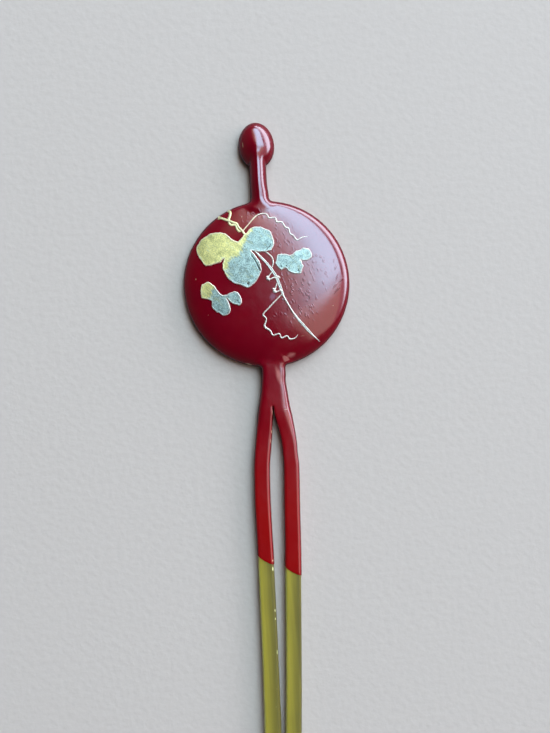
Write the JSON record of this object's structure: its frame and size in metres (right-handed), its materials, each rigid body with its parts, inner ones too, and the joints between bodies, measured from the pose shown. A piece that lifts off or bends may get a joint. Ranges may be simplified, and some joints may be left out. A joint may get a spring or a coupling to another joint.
{
  "type": "kanzashi",
  "caption": "Flat red lacquered hairpin with a round head, an ear-pick above it, long slim legs below it and a raised gold and silver plant on the head.",
  "frame": {"origin": "middle of the round head's flat back, on the surface that the pin lies on", "axes": "+X to the right of the head, +Y towards the ear-pick, +Z out of the head's face"},
  "size_m": [0.03, 0.155, 0.004],
  "materials": {
    "lacquer": "gloss",
    "horn": "satin",
    "gold_dust": "satin",
    "silver_dust": "satin"
  },
  "bodies": {
    "root": {"lacquered_pin": "lacquer", "leg_left": "horn", "leg_right": "horn", "leaf_large": "gold_dust", "leaf_left": "gold_dust", "leaf_right": "silver_dust", "vine": "silver_dust", "vine_loop": "silver_dust", "tendril_upper": "silver_dust", "tendril_lower": "silver_dust", "tendril_twisted": "gold_dust"}
  },
  "joints": []
}
